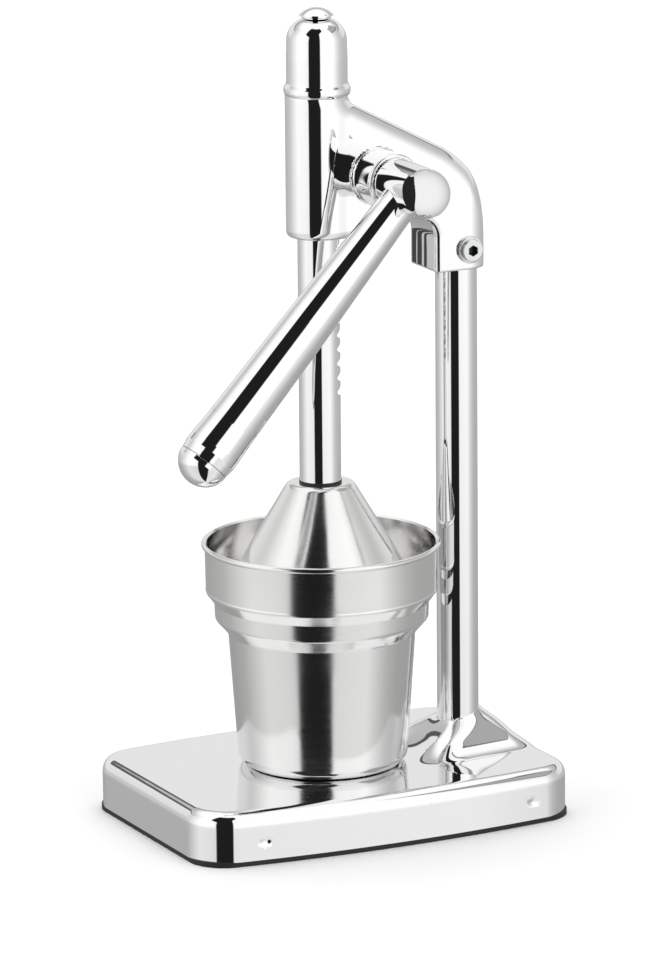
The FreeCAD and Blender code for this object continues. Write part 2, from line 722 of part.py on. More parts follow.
def handle_hub():
    front = d.hub_front - d.hub_back
    hub = turned("hub_turned", [
        (7.05, 0), (d.hub_rad - 0.4, 0), (d.hub_rad, 0.4), (d.hub_rad, front),
        (0, front + d.hub_rad, d.hub_rad, 1), (0, front - 7.5), (7.05, front - 7.5)])
    place(hub, d.pinion_x, -d.hub_back, d.pinion_z, Rotation(Vector(1, 0, 0), 90))
    hole = cylinder("hub_stud_hole", 4.06, 20)
    place(hole, d.pinion_x, -d.lever_y, d.pinion_z, lever_turn())
    finish("handle_hub", cut("handle_hub", hub, hole))


def handle_lever():
    """Tapered grip, coped to the hub, with its stud and end cap."""
    seam = d.lever_seam
    bar = turned("lever_turned", [
        (0, 5), (8.2, 5), (10.3, seam * 0.5), (11.3, seam * 0.87), (11.9, seam - 7),
        (11.9, seam - 4), (11.3, seam), (0, seam)])
    place(bar, d.pinion_x, -d.lever_y, d.pinion_z, lever_turn())
    cope = cylinder("lever_cope", d.hub_rad + 0.05, 60)
    place(cope, d.pinion_x, -(d.lever_y - 30), d.pinion_z, Rotation(Vector(1, 0, 0), 90))
    bore = cylinder("lever_stud_bore", 4.0, 32)
    place(bore, d.pinion_x, -d.lever_y, d.pinion_z, lever_turn())
    finish("handle_lever", cut("handle_lever", cut("lever_coped", bar, cope), bore))
    stud = turned("handle_stud", [(0, 0), (3.4, 0), (3.9, 0.5), (3.9, 31), (3.4, 31.5), (0, 31.5)])
    place(stud, d.pinion_x, -d.lever_y, d.pinion_z, lever_turn())
    finish("handle_stud", stud)
    cap = turned("handle_end_cap", [
        (0, 0.15), (11.0, 0.15), (11.3, 0.5), (11.1, 2.4), dome(11.1, 2.4, 10.6)])
    lean = d.lever_drop.number
    along = Vector(-math.cos(math.radians(lean)), 0, -math.sin(math.radians(lean)))
    place(cap, d.pinion_x + seam * along.x, -d.lever_y, d.pinion_z + seam * along.z, lever_turn())
    finish("handle_end_cap", cap)


# ---------------------------------------------------------------- cup and strainer

def juice_cup():
    """Pressed cup: rolled lip, wide band, step, second band, step, tapered body."""
    t = d.sheet_steel
    low = d.cup_bottom
    top = d.cup_rim
    outer = [
        (0, low), (31.4, low), (36.9, low + 5.8, 5.8, 1), (40.6, 82.0),
        (45.6, 87.6), (46.3, 89.4, 2.4, 1), (46.5, 95.4), (50.0, 100.0), (50.1, 101.6, 2.0, 1),
        (50.4, top - 2.4), (51.0, top - 2.4)]
    lip = [(51.0, top, 1.3, 1), (50.4, top)]
    inner = [
        (50.4 - t, top - 0.6), (50.1 - t, 101.9), (46.5 - t, 96.4), (46.3 - t, 89.8),
        (40.6 - t, 83.0), (36.9 - t, low + 6.2), (31.4, low + t, 5.4, -1), (0, low + t)]
    body = turned("juice_cup", outer + lip + inner)
    place(body, d.press_x, 0, 0)
    finish("juice_cup", body)


def strainer():
    """Pressed insert: flange on the cup's step, drain ring, and a low cone to hold the fruit."""
    t = d.sheet_steel
    crown = dome(20.1, 130.0, 135.5)[2]
    body = turned("strainer", [
        (0, 135.5), (20.1, 130.0, crown, -1), (43.2, 91.8), (44.9 - t, 91.8), (44.9 - t, 97.6),
        (48.0, 102.6), (49.0, 102.6), (49.0, 101.9), (44.9, 97.2), (44.9, 91.0), (42.9, 91.0),
        (20.1, 130.0 - t), (0, 135.5 - t, crown, 1)])
    for level, (radius, width, count) in enumerate(((38.5, 2.4, 24), (31.0, 2.4, 20), (24.0, 2.2, 16))):
        holes = new_sketch(body, "XY_Plane", f"drain_row_{level}", 140)
        draw_circle(holes, radius, 0, width / 2)
        polar(body, pocket(body, holes), count)
    place(body, d.press_x, 0, 0)
    finish("strainer", body)


# ---------------------------------------------------------------- build, check, write

def build_all():
    base_casting()
    base_mat()
    mat_screws()
    column()
    column_bolt()
    head_casting()
    clamp_screw()
    top_cap()
    rack_rod()
    press_cone()
    pinion_shaft()
    pinion_retainer()
    handle_hub()
    handle_lever()
    juice_cup()
    strainer()


def check_all():
    doc.recompute()
    for thing in doc.Objects:
        if "Invalid" in thing.State or "Error" in thing.State:
            raise RuntimeError(f"{thing.Label} failed: {thing.State}")
    for name, thing in subparts.items():
        shape = thing.Shape
        if shape.isNull() or not shape.isValid() or not shape.Solids:
            raise RuntimeError(f"{name} has no valid solid")
        box = shape.BoundBox
        print(f"{name:20s} solids {len(shape.Solids)} volume {shape.Volume / 1000:8.2f} cm3"
              f"  x {box.XMin:7.2f} {box.XMax:7.2f}  y {box.YMin:7.2f} {box.YMax:7.2f}"
              f"  z {box.ZMin:7.2f} {box.ZMax:7.2f}")


def write_all():
    os.makedirs("parts", exist_ok=True)
    for name, thing in subparts.items():
        thing.Shape.exportStep(os.path.join("parts", name + ".step"))


build_all()
check_all()
write_all()
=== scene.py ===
"""Looks of the manual citrus press: smooth castings, materials, light and camera."""
import json
import math
import bpy
import numpy as np
from mathutils import Matrix, Vector

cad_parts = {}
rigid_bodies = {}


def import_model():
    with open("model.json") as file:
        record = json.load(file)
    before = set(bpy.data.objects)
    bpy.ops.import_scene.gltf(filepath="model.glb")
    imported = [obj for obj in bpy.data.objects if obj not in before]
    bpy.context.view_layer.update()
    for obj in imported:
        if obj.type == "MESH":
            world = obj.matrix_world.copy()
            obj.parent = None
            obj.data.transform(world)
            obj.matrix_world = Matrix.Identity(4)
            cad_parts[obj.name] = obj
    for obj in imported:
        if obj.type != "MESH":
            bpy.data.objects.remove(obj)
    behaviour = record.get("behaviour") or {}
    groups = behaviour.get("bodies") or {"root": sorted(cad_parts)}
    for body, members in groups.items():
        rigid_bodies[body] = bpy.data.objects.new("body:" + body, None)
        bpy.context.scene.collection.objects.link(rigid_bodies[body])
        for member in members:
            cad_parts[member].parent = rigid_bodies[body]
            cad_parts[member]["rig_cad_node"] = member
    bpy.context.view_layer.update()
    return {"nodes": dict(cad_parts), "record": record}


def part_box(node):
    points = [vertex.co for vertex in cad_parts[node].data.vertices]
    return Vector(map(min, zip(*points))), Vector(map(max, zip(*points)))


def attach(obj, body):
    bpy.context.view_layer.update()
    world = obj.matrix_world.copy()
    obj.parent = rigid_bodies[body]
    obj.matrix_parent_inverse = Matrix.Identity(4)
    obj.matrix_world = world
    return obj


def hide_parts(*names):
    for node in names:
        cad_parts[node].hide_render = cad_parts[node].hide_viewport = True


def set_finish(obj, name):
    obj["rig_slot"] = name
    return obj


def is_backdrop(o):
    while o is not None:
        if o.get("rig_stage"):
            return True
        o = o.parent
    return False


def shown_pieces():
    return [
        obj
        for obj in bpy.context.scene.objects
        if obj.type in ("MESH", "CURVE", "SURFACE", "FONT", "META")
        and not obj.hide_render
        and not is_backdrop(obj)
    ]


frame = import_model()
MM = 0.001


def box_mm(node):
    low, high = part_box(node)
    return np.array(low) / MM, np.array(high) / MM


# ------------------------------------------------------------ places taken from the frame, in mm

rod_low, rod_high = box_mm("rack_rod")
PRESS_X = (rod_low[0] + rod_high[0]) / 2
ROD_R = (rod_high[1] - rod_low[1]) / 2
col_low, col_high = box_mm("column")
COLUMN_X = (col_low[0] + col_high[0]) / 2
COLUMN_R = (col_high[0] - col_low[0]) / 2
head_low, head_high = box_mm("head_casting")
HEAD_R = head_high[1]
BARREL_END = -head_low[1]
SOCKET_BOTTOM = head_low[2]
GUIDE_TOP = box_mm("top_cap")[0][2]
shaft_low, shaft_high = box_mm("pinion_shaft")
PINION_X = (shaft_low[0] + shaft_high[0]) / 2
PINION_Z = (shaft_low[2] + shaft_high[2]) / 2
screw_low, screw_high = box_mm("clamp_screw")
CLAMP_Z = (screw_low[2] + screw_high[2]) / 2
hub_low, hub_high = box_mm("handle_hub")
HUB_R = (hub_high[0] - hub_low[0]) / 2
base_low, base_high = box_mm("base_casting")
HALF_X = base_high[0]
HALF_Y = base_high[1]
HILL_TOP = base_high[2]


# ------------------------------------------------------------ smooth solids by distance fields

def both(a, b, radius):
    """Distance to what lies in both shapes, with their shared edge rounded."""
    inner = np.minimum(np.maximum(a, b), -radius)
    return inner + np.hypot(np.maximum(a + radius, 0), np.maximum(b + radius, 0))


def either(a, b, radius):
    """Distance to the two shapes together, with a fillet in the corner between them."""
    return -both(-a, -b, radius)


def circle(u, v, radius):
    return np.hypot(u, v) - radius


def plane(place, at, way):
    """Distance in front of a plane through one point, measured along its way out."""
    return sum((c - a) * w for c, a, w in zip(place, at, way))


NEWTON_STEPS = 4
LEAST_SLOPE = 0.05        # keeps the steps short where the field is nearly flat


def net(field, low, high, step):
    """Quad mesh of the surface where the field is zero (naive surface nets), moved onto it."""
    axes = [np.arange(a, b + step, step) for a, b in zip(low, high)]
    grid = np.stack(np.meshgrid(*axes, indexing="ij"), -1)
    value = field(grid.reshape(-1, 3)).reshape(grid.shape[:3])
    inside = value < 0
    shape = np.array(value.shape) - 1
    total = np.zeros((*shape, 3))
    count = np.zeros(shape)
    corners = [(i, j, k) for i in (0, 1) for j in (0, 1) for k in (0, 1)]

    def at(array, c):
        return array[c[0]:c[0] + shape[0], c[1]:c[1] + shape[1], c[2]:c[2] + shape[2]]

    for a in corners:
        for axis in range(3):
            if a[axis]:
                continue
            b = list(a)
            b[axis] = 1
            va, vb = at(value, a), at(value, b)
            cross = at(inside, a) != at(inside, b)
            t = np.where(cross, va / np.where(cross, va - vb, 1), 0)
            point = at(grid, a) + t[..., None] * (at(grid, b) - at(grid, a))
            total += np.where(cross[..., None], point, 0)
            count += cross
    used = count > 0
    index = np.full(shape, -1)
    index[used] = np.arange(used.sum())
    points = total[used] / count[used][:, None]
    quads = []
    for axis in range(3):
        u, v = (axis + 1) % 3, (axis + 2) % 3
        first = [slice(1, -1)] * 3
        first[axis] = slice(0, -1)
        second = list(first)
        second[axis] = slice(1, None)
        inside_a, inside_b = inside[tuple(first)], inside[tuple(second)]
        cells = np.argwhere(inside_a != inside_b) + 1
        cells[:, axis] -= 1
        flip = inside_b[inside_a != inside_b]
        ring = []
        for du, dv in ((0, 0), (1, 0), (1, 1), (0, 1)):
            c = cells.copy()
            c[:, u] -= du
            c[:, v] -= dv
            ring.append(index[c[:, 0], c[:, 1], c[:, 2]])
        ring = np.stack(ring, 1)
        ring[flip] = ring[flip][:, ::-1]
        quads.append(ring)
    quads = np.concatenate(quads)
    for _ in range(NEWTON_STEPS):
        slope = gradient(field, points)
        steep = np.maximum((slope ** 2).sum(1), LEAST_SLOPE)
        points = points - (field(points) / steep)[:, None] * slope
    return points, quads


def gradient(field, points, step=0.02):
    """Slope of the field by central differences."""
    parts = []
    for axis in range(3):
        shift = np.zeros(3)
        shift[axis] = step
        parts.append((field(points + shift) - field(points - shift)) / (2 * step))
    return np.stack(parts, 1)


def new_object(name, points, faces):
    """Mesh object in metres, linked to the scene."""
    data = bpy.data.meshes.new(name)
    data.from_pydata(points, [], faces)
    made = bpy.data.objects.new(name, data)
    bpy.context.scene.collection.objects.link(made)
    return made


def field_piece(name, field, low, high, step, body, slot, replaces):
    """The surface of a field in millimetres becomes a smooth piece that rides on a body."""
    points, quads = net(field, low, high, step)
    piece = new_object(name, (points * MM).tolist(), quads.tolist())
    piece.data.polygons.foreach_set("use_smooth", [True] * len(quads))
    piece.data.update()
    normals = gradient(field, points)
    unit = normals / np.maximum(np.linalg.norm(normals, axis=1), 1e-9)[:, None]
    piece.data.normals_split_custom_set_from_vertices(unit.tolist())
    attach(piece, body)
    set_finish(piece, slot)
    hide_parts(*replaces)


# ------------------------------------------------------------ head casting

PLAY = 0.1                # gap round whatever sits in a bore
SLOPE = math.radians(28)  # fall of the arm's back
BEND_PAST = 1.2           # the bend of the back stands out past the column socket
BEND_R = 46.5
BEND_X = COLUMN_X + HEAD_R + BEND_PAST - BEND_R
BEND_Z = 249.9
GUIDE_BOTTOM = 256.7
LUG_END = 17.0
ARCH_X = 45.0
ARCH_Z = 261.6
SOCKET_TOP = 270
BAR_R = 10.0
BARREL_R = 12.4
NECK_DEPTH = 0.5          # the barrel is thinner than its beads by this
BEAD_R = 0.95
ROOT_BEAD = (0.8, 0.9)    # in from BARREL_R, and in front of the arm's face
LIP_BEAD = (1.2, 1.0)     # in from BARREL_R, and behind the barrel's end
GEAR_ROOM = 17.3          # radius of the room for the pinion's teeth, open to the back
GEAR_FRONT = 9.0          # the room begins this far in front of the rod's axis


def head_field(p):
    """Sloping arm with the rod's guide, the column's socket and the pinion's barrel."""
    x, y, z = p.T
    along = np.clip(x, PRESS_X, COLUMN_X)
    plan = np.hypot(x - along, y) - HEAD_R
    u, w = x - BEND_X, z - BEND_Z
    sloped = u * math.sin(SLOPE) + w * math.cos(SLOPE)
    turn = np.arctan2(w, u)
    in_bend = (turn >= 0) & (turn <= math.pi / 2 - SLOPE)
    top = np.where(in_bend, np.hypot(u, w), np.maximum(sloped, u)) - BEND_R
    arch = both(x - ARCH_X, z - ARCH_Z, radius=9.5)
    lug = both(x - LUG_END, GUIDE_BOTTOM - z, radius=4.9)
    under = either(-arch, lug, radius=2.0)
    arm = both(both(plan, top, radius=8.5), under, radius=2.6)
    arm = both(arm, SOCKET_BOTTOM - z, radius=1.0)
    guide = both(circle(x - PRESS_X, y, HEAD_R), z - GUIDE_TOP, radius=0.4)
    guide = both(guide, GUIDE_BOTTOM - z, radius=1.0)
    solid = either(arm, guide, radius=2.5)
    around = np.hypot(x - PINION_X, z - PINION_Z)
    barrel = both(around - BARREL_R + NECK_DEPTH, -BARREL_END - y, radius=0.8)
    root_bead = circle(around - BARREL_R + ROOT_BEAD[0], y + HEAD_R + ROOT_BEAD[1], BEAD_R)
    lip_bead = circle(around - BARREL_R + LIP_BEAD[0], y + BARREL_END - LIP_BEAD[1], BEAD_R)
    barrel = either(np.maximum(barrel, y), np.minimum(root_bead, lip_bead), radius=0.35)
    solid = either(solid, barrel, radius=0.5)
    rod_bore = circle(x - PRESS_X, y, ROD_R + PLAY)
    socket = np.maximum(circle(x - COLUMN_X, y, COLUMN_R + PLAY), z - SOCKET_TOP)
    bar_bore = around - BAR_R - PLAY
    gear_room = np.maximum(around - GEAR_ROOM, -GEAR_FRONT - y)
    bores = np.minimum(np.minimum(rod_bore, socket), np.minimum(bar_bore, gear_room))
    return both(solid, -bores, radius=0.5)


field_piece("head_casting_smooth", head_field, low=head_low - 2,
            high=(head_high[0] + 3, head_high[1] + 2, GUIDE_TOP + 2), step=0.9,
            body="stand", slot="chrome_casting", replaces=["head_casting"])


# ------------------------------------------------------------ cap and clamp screw

CAP_R = 13.15
CAP_TOP = GUIDE_TOP + 33.2
TAPER = 0.03
TAPER_FROM = 334
COLLAR_R = 14.35
COLLAR_HALF = 2.2         # half the height of the collar at the cap's foot
ROOM_R = 9.7              # inside of the cap, where the rod rises
ROOM_TOP = GUIDE_TOP + 29.2
MOUTH_R = 11.36
MOUTH_TOP = GUIDE_TOP + 6.2
STEM_R = 3.1              # hole for the stem of the finial
STEM_FROM = GUIDE_TOP + 20


def cap_field(p):
    """Hollow cap with a collar at its foot."""
    x, y, z = p.T
    away = np.hypot(x - PRESS_X, y)
    shell = away - CAP_R + TAPER * np.maximum(z - TAPER_FROM, 0)
    solid = both(shell, z - CAP_TOP, radius=9.5)
    collar = both(away - COLLAR_R, np.abs(z - GUIDE_TOP - COLLAR_HALF) - COLLAR_HALF, radius=1.7)
    solid = either(solid, collar, radius=1.4)
    solid = np.maximum(solid, GUIDE_TOP - z)
    room = np.maximum(away - ROOM_R, z - ROOM_TOP)
    mouth = np.maximum(away - MOUTH_R, z - MOUTH_TOP)
    stem = np.maximum(away - STEM_R, STEM_FROM - z)
    return np.maximum(solid, -np.minimum(np.minimum(room, mouth), stem))


field_piece("top_cap_smooth", cap_field, low=(PRESS_X - 16, -16, GUIDE_TOP - 1),
            high=(PRESS_X + 16, 16, GUIDE_TOP + 35), step=0.6,
            body="stand", slot="chrome_turned", replaces=["top_cap"])

FLANGE_R = 5.9
FLANGE_FRONT = 1.6        # how far a face stands in front of the column's socket
SCREW_HEAD_R = 4.9
SCREW_HEAD_FRONT = 3.6
KEY_FLOOR = 0.6           # depth of the hexagon socket's floor, from the same place
KEY_HALF = 2.1            # half the width of the hexagon socket across its flats
SHANK_R = 3.0
COS_60 = 0.5
SIN_60 = 0.866


def screw_field(p):
    """Clamp screw with a flange and a hexagon socket; its axis runs along y."""
    x, y, z = p[:, 0] - COLUMN_X, p[:, 1] + HEAD_R, p[:, 2] - CLAMP_Z
    away = np.hypot(x, z)
    flange = both(away - FLANGE_R, -FLANGE_FRONT - y, radius=0.5)
    head = both(away - SCREW_HEAD_R, -SCREW_HEAD_FRONT - y, radius=0.5)
    solid = np.maximum(np.minimum(flange, head), np.minimum(y, away - SHANK_R))
    solid = np.maximum(solid, y - HEAD_R + COLUMN_R + PLAY)
    flats = np.maximum(np.abs(x), np.abs(x * COS_60 + z * SIN_60))
    hexagon = np.maximum(flats, np.abs(x * COS_60 - z * SIN_60)) - KEY_HALF
    return np.maximum(solid, -np.maximum(hexagon, y + KEY_FLOOR))


field_piece("clamp_screw_smooth", screw_field, low=(COLUMN_X - 7, -HEAD_R - 5, CLAMP_Z - 7),
            high=(COLUMN_X + 7, -COLUMN_R + 1, CLAMP_Z + 7), step=0.3,
            body="stand", slot="zinc_screw", replaces=["clamp_screw"])


# ------------------------------------------------------------ base casting

BASE_TOP = 23.4
BASE_CORNER = 17.0
BASE_BOW = 4.5            # the long sides bow out by this
BASE_STEP = 1.1
FLANK_AT = (80.4, 23.5, 19.4)
FLANK_WAY = (0.098, 0.7656, 0.636)
RIGHT_AT = (88.4, 0.0, 19.4)
RIGHT_WAY = (0.81, 0.0, 0.587)
LEFT_AT = (40.0, 0.0, HILL_TOP)
LEFT_WAY = (-0.62, 0.0, 0.785)
HILL_FOOT = 14            # the hill is cut off here, inside the plinth
HILL_INSET = 2.5
CROWN_TOP = 38.6
CROWN_FALL = 0.30         # fall of the crown per millimetre away from the column
FLARE = 2.2               # rise of the crown where it meets the column
FLARE_REACH = 2.0
SEAT_R = 43.5
SEAT_FLARE = 1.2          # the hollow round the cup opens by this per millimetre of height
HOLE_INSET = 1.2          # the hole ends inside the column's wall, so that no gap shows
HOLE_BOTTOM = 20
DIMPLES_X = (-62.5, 66.0)
DIMPLE_Z = 10
DIMPLE_R = 4.2
DIMPLE_OUT = 3.4          # the dimples' centres lie in front of the side by this
DIMPLE_SQUASH = 2.2
FAR = 50                  # stands for no dimples in the back


def base_field(p):
    """Plinth with bowed sides, and the hill at the column's foot with a hollow for the cup."""
    x, y, z = p.T
    place = (x, np.abs(y), z)
    run = HALF_X - BASE_CORNER
    bow = (run * run + BASE_BOW ** 2) / (2 * BASE_BOW)
    side = np.hypot(x, np.abs(y) - (HALF_Y - bow)) - bow
    outline = both(side, np.abs(x) - HALF_X, BASE_CORNER)
    plinth = both(outline, z - BASE_TOP, radius=6.0)
    from_column = np.maximum(circle(x - COLUMN_X, y, COLUMN_R), 0)
    flare = FLARE * np.exp(-from_column / FLARE_REACH)
    crown = (z - CROWN_TOP - flare + CROWN_FALL * from_column) / math.hypot(1, CROWN_FALL)
    hill = both(plane(place, FLANK_AT, FLANK_WAY), crown, radius=6.0)
    hill = both(hill, plane(place, RIGHT_AT, RIGHT_WAY), radius=6.0)
    hill = both(hill, plane(place, LEFT_AT, LEFT_WAY), radius=6.0)
    hill = np.maximum(hill, HILL_FOOT - z)
    seat = circle(x - PRESS_X, y, SEAT_R) - (z - BASE_TOP) * SEAT_FLARE
    hill = both(hill, -seat / math.hypot(1, SEAT_FLARE), radius=9.0)
    solid = either(plinth, np.maximum(hill, outline + HILL_INSET), radius=5.0)
    in_front = np.where(y < 0, side - DIMPLE_OUT, FAR)
    for dimple_x in DIMPLES_X:
        squashed = (x - dimple_x) ** 2 + DIMPLE_SQUASH * (z - DIMPLE_Z) ** 2
        solid = both(solid, DIMPLE_R - np.sqrt(squashed + in_front ** 2), radius=0.6)
    hole = np.maximum(circle(x - COLUMN_X, y, COLUMN_R - HOLE_INSET), HOLE_BOTTOM - z)
    return np.maximum(np.maximum(solid, -hole), outline)


field_piece("base_casting_smooth", base_field,
            low=(base_low[0] - 2, base_low[1] - 2, base_low[2] - BASE_STEP / 2),
            high=(base_high[0] + 2, base_high[1] + 2, CROWN_TOP + FLARE + 3), step=BASE_STEP,
            body="stand", slot="chrome_casting", replaces=["base_casting"])


# ------------------------------------------------------------ camera

CAMERA_AT = Vector((-1.31808, -2.69435, 0.87272))
LOOK_AT = Vector((0.0, 0.0, 0.14396))
ROLL = -0.0087            # radians
LENS = 263.28             # millimetres
forward = (LOOK_AT - CAMERA_AT).normalized()
level = forward.cross(Vector((0, 0, 1))).normalized()
upright = level.cross(forward)
right = math.cos(ROLL) * level + math.sin(ROLL) * upright
up = math.cos(ROLL) * upright - math.sin(ROLL) * level
camera_data = bpy.data.cameras.new("camera")
camera_data.lens = LENS
camera = bpy.data.objects.new("camera", camera_data)
camera.matrix_world = Matrix((
    (right.x, up.x, -forward.x, CAMERA_AT.x),
    (right.y, up.y, -forward.y, CAMERA_AT.y),
    (right.z, up.z, -forward.z, CAMERA_AT.z),
    (0, 0, 0, 1)))
camera_data.clip_end = 50
bpy.context.scene.collection.objects.link(camera)
bpy.context.scene.camera = camera
bpy.context.scene.view_settings.view_transform = "Standard"


# ------------------------------------------------------------ world

class Graph:
    """Short way to write node trees."""

    def __init__(self, tree):
        self.nodes = tree.nodes
        self.links = tree.links

    def add(self, kind, **settings):
        node = self.nodes.new(kind)
        for key, value in settings.items():
            setattr(node, key, value)
        return node

    def feed(self, socket, value):
        if isinstance(value, bpy.types.NodeSocket):
            self.links.new(value, socket)
        else:
            socket.default_value = value

    def math(self, operation, *values):
        """One math node; it gives back its output."""
        node = self.add("ShaderNodeMath", operation=operation)
        for socket, value in zip(node.inputs, values):
            self.feed(socket, value)
        return node.outputs[0]

    def dot(self, vector, other):
        node = self.add("ShaderNodeVectorMath", operation="DOT_PRODUCT")
        self.feed(node.inputs[0], vector)
        node.inputs[1].default_value = other
        return node.outputs["Value"]

    def ramp(self, factor, stops):
        """Grey colour ramp through (place, tone) stops."""
        node = self.add("ShaderNodeValToRGB")
        elements = node.color_ramp.elements
        while len(elements) < len(stops):
            elements.new(0.5)
        for element, (place, tone) in zip(elements, stops):
            element.position = place
            element.color = (tone, tone, tone, 1)
        self.feed(node.inputs[0], factor)
        return node.outputs[0]

    def span(self, value, low, high, to_low=0.0, to_high=1.0):
        """Smooth step from to_low at low to to_high at high; low may be the larger one."""
        node = self.add("ShaderNodeMapRange", interpolation_type="SMOOTHSTEP")
        for socket, number in zip(node.inputs[:5], (value, low, high, to_low, to_high)):
            self.feed(socket, number)
        return node.outputs[0]

    def mix(self, factor, low, high):
        """Low where the factor is 0, high where it is 1."""
        node = self.add("ShaderNodeMix", data_type="FLOAT")
        for index, value in ((0, factor), (2, low), (3, high)):
            self.feed(node.inputs[index], value)
        return node.outputs[0]


DEGREES = 180 / math.pi
PANELS = [  # bearing in degrees from the camera's side, tone
    (-180, 0.50), (-150, 0.52), (-115, 0.66), (-95, 0.90), (-75, 1.15), (-45, 1.10), (-36, 1.05),
    (20, 1.15), (60, 1.22), (78, 0.90), (92, 0.70), (110, 0.58), (150, 0.52), (180, 0.50)]
CEILING_TONE = 1.10
PATCH_RIM_TONE = 0.14
PATCH_TONE = 0.43
BACKDROP_TONE = 0.84
SLIT_TONE = 0.014
BAND_TONE = 0.10
DIFFUSE_GAIN = 1.6

world = bpy.data.worlds.new("studio")
bpy.context.scene.world = world
world.use_nodes = True
world.node_tree.nodes.clear()
g = Graph(world.node_tree)
way = g.add("ShaderNodeTexCoord").outputs["Generated"]
toward = Vector((CAMERA_AT.x, CAMERA_AT.y, 0)).normalized()
ahead = g.dot(way, toward)
aside = g.dot(way, (-toward.y, toward.x, 0.0))
height = g.dot(way, (0.0, 0.0, 1.0))
bearing = g.math("MULTIPLY", g.math("ARCTAN2", aside, ahead), DEGREES)
rise = g.math("MULTIPLY", g.math("ARCSINE", height), DEGREES)


def every(*masks):
    """Where all the masks hold."""
    held = masks[0]
    for mask in masks[1:]:
        held = g.math("MULTIPLY", held, mask)
    return held


def between(angle, low, high, soft):
    """Mask of a range of angles, with soft ends inside it."""
    return every(g.span(angle, low, low + soft), g.span(angle, high, high - soft))


def patch(low_bearing, high_bearing, low_rise, high_rise, soft=0.8):
    """Rectangle of the sky with soft edges."""
    return every(between(bearing, low_bearing, high_bearing, soft),
                 between(rise, low_rise, high_rise, soft))


# Panels all round, dimmer near the floor, under a bright ceiling.
around = g.math("DIVIDE", g.math("ADD", bearing, 180.0), 360.0)
panels = g.ramp(around, [((angle + 180) / 360, tone) for angle, tone in PANELS])
panels = g.math("MULTIPLY", panels, g.span(rise, -18.5, -8.0, 0.72, 1.0))
light = g.mix(g.span(rise, 34.0, 52.0), panels, CEILING_TONE)
# A mid grey patch with a dark rim, high on one side.
light = g.mix(patch(75.5, 124.0, 35.5, 58.5), light, PATCH_RIM_TONE)
light = g.mix(patch(78.0, 121.0, 38.0, 57.0), light, PATCH_TONE)
# The backdrop behind the object.
behind = g.span(g.math("ABSOLUTE", bearing), 100.0, 135.0)
backdrop = every(behind, every(g.span(rise, -2.0, 6.0), g.span(rise, 30.0, 26.0)))
light = g.mix(backdrop, light, BACKDROP_TONE)
# The dark slit on the camera's side; both edges lean outwards higher up.
left_edge = g.mix(g.span(rise, 26.0, 40.0), -31.0, -50.0)
right_edge = g.mix(g.span(rise, 44.0, 62.0), 13.0, 34.0)
slit = every(g.span(g.math("SUBTRACT", bearing, left_edge), -2.0, 2.0),
             g.span(g.math("SUBTRACT", bearing, right_edge), 2.0, -2.0),
             g.span(rise, 76.0, 70.0))
light = g.mix(slit, light, SLIT_TONE)
# A thin dark band along the top of the backdrop.
light = g.mix(every(behind, between(rise, 25.2, 29.2, 1.0)), light, BAND_TONE)
# Diffuse surfaces get more light, and the camera itself sees plain white.
paths = g.add("ShaderNodeLightPath").outputs
light = g.math("MULTIPLY", light, g.mix(paths["Is Diffuse Ray"], 1.0, DIFFUSE_GAIN))
light = g.mix(paths["Is Camera Ray"], light, 1.0)
background = g.add("ShaderNodeBackground")
g.feed(background.inputs["Strength"], light)
background.inputs["Color"].default_value = (1, 1, 1, 1)
g.feed(g.add("ShaderNodeOutputWorld").inputs["Surface"], background.outputs[0])


# ------------------------------------------------------------ floor

FLOOR_HALF = 6            # metres
FLOOR_WHITE = 0.98

floor_corners = [(-FLOOR_HALF, -FLOOR_HALF, 0), (FLOOR_HALF, -FLOOR_HALF, 0),
                 (FLOOR_HALF, FLOOR_HALF, 0), (-FLOOR_HALF, FLOOR_HALF, 0)]
floor = new_object("floor", floor_corners, [(0, 1, 2, 3)])
floor.visible_glossy = False
floor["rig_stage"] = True
floor_material = bpy.data.materials.new("floor_white")
floor_material.use_nodes = True
floor_shader = floor_material.node_tree.nodes["Principled BSDF"]
floor_shader.inputs["Base Color"].default_value = (FLOOR_WHITE, FLOOR_WHITE, FLOOR_WHITE, 1)
floor_shader.inputs["Roughness"].default_value = 0.9
floor.data.materials.append(floor_material)


# ------------------------------------------------------------ cards and strips for reflections

def mirror_only(name, points, faces):
    """Staged mesh that only mirrors see; gives back the empty node tree of its material."""
    piece = new_object(name, points, faces)
    piece.visible_camera = False
    piece.visible_diffuse = False
    piece.visible_shadow = False
    piece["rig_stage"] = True
    made = bpy.data.materials.new(name)
    made.use_nodes = True
    made.node_tree.nodes.clear()
    piece.data.materials.append(made)
    return Graph(made.node_tree)


CARD_R = 0.013            # metres
CARD_STEPS = 12
HUB_CENTRE = Vector((PINION_X, hub_low[1] + HUB_R, PINION_Z)) * MM
hub_forward = (CAMERA_AT - HUB_CENTRE).normalized()


